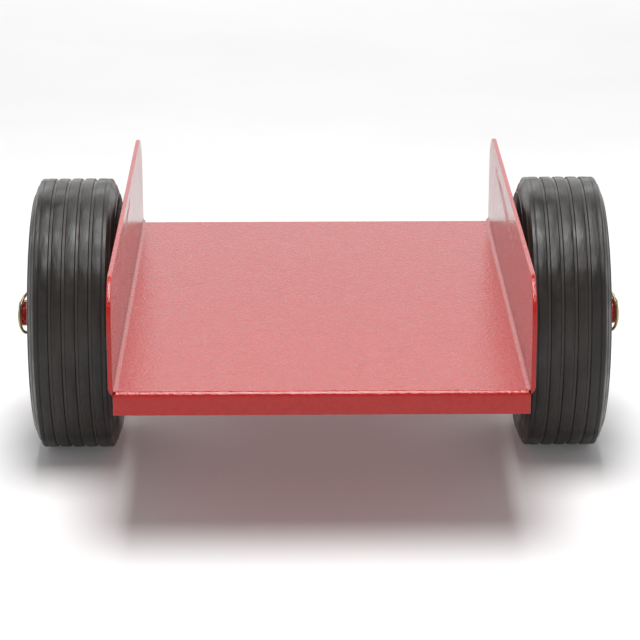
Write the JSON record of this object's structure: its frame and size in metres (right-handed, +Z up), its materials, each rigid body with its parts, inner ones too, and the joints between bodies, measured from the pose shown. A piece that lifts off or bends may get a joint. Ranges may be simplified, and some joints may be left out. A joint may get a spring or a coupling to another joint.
{
  "type": "two-wheeled panel dolly",
  "caption": "Low two-wheeled dolly for panels: a folded red steel tray with upright side plates on a through axle with solid ribbed rubber wheels.",
  "frame": {"origin": "on the ground below the middle of the tray, between the two wheels", "axes": "+X along the axle towards the right wheel, +Y from the front lip towards the rear, +Z up"},
  "size_m": [0.58, 0.572, 0.26],
  "materials": {
    "red_powder_coat": "gloss red powder coat with fine orange peel",
    "black_rubber": "moulded solid black rubber, slightly dusty",
    "grey_rim_paint": "silver-grey lacquered pressed steel",
    "bright_zinc": "bright zinc plate",
    "yellow_zinc": "yellow zinc plated steel",
    "white_nylon": "natural nylon cage with steel rollers"
  },
  "bodies": {
    "frame": {"tray": "red_powder_coat", "axle": "red_powder_coat", "left_axle_saddle": "red_powder_coat", "left_front_weld": "red_powder_coat", "left_rear_weld": "red_powder_coat", "left_inner_washer": "bright_zinc", "left_outer_washer": "bright_zinc", "left_linch_pin": "yellow_zinc", "right_axle_saddle": "red_powder_coat", "right_front_weld": "red_powder_coat", "right_rear_weld": "red_powder_coat", "right_inner_washer": "bright_zinc", "right_outer_washer": "bright_zinc", "right_linch_pin": "yellow_zinc"},
    "left_wheel": {"left_tyre": "black_rubber", "left_rim_outer_half": "grey_rim_paint", "left_rim_inner_half": "grey_rim_paint", "left_hub_tube": "grey_rim_paint", "left_rim_bolt_1": "bright_zinc", "left_rim_nut_1": "bright_zinc", "left_rim_bolt_2": "bright_zinc", "left_rim_nut_2": "bright_zinc", "left_rim_bolt_3": "bright_zinc", "left_rim_nut_3": "bright_zinc", "left_rim_bolt_4": "bright_zinc", "left_rim_nut_4": "bright_zinc"},
    "left_bearing": {"left_roller_cage": "white_nylon"},
    "left_pin_ring": {"left_linch_pin_ring": "yellow_zinc"},
    "right_wheel": {"right_tyre": "black_rubber", "right_rim_outer_half": "grey_rim_paint", "right_rim_inner_half": "grey_rim_paint", "right_hub_tube": "grey_rim_paint", "right_rim_bolt_1": "bright_zinc", "right_rim_nut_1": "bright_zinc", "right_rim_bolt_2": "bright_zinc", "right_rim_nut_2": "bright_zinc", "right_rim_bolt_3": "bright_zinc", "right_rim_nut_3": "bright_zinc", "right_rim_bolt_4": "bright_zinc", "right_rim_nut_4": "bright_zinc"},
    "right_bearing": {"right_roller_cage": "white_nylon"},
    "right_pin_ring": {"right_linch_pin_ring": "yellow_zinc"}
  },
  "joints": [
    {"name": "left_wheel_spin", "type": "hinge", "parent": "frame", "child": "left_wheel", "pos_m": [-0.23212, 0.01, 0.13], "axis": [1, 0, 0], "continuous": true},
    {"name": "left_bearing_spin", "type": "hinge", "parent": "frame", "child": "left_bearing", "pos_m": [-0.23212, 0.01, 0.13], "axis": [1, 0, 0], "continuous": true},
    {"name": "left_ring_swing", "type": "hinge", "parent": "frame", "child": "left_pin_ring", "pos_m": [-0.27492, 0.0295, 0.13], "axis": [0, 0, -1], "range_deg": [-20, 155]},
    {"name": "right_wheel_spin", "type": "hinge", "parent": "frame", "child": "right_wheel", "pos_m": [0.23212, 0.01, 0.13], "axis": [1, 0, 0], "continuous": true},
    {"name": "right_bearing_spin", "type": "hinge", "parent": "frame", "child": "right_bearing", "pos_m": [0.23212, 0.01, 0.13], "axis": [1, 0, 0], "continuous": true},
    {"name": "right_ring_swing", "type": "hinge", "parent": "frame", "child": "right_pin_ring", "pos_m": [0.27492, 0.0295, 0.13], "axis": [0, 0, 1], "range_deg": [-20, 155]}
  ],
  "couplings": [
    {"joint": "left_bearing_spin", "follows": "left_wheel_spin", "ratio": 0.58333},
    {"joint": "right_bearing_spin", "follows": "right_wheel_spin", "ratio": 0.58333}
  ]
}
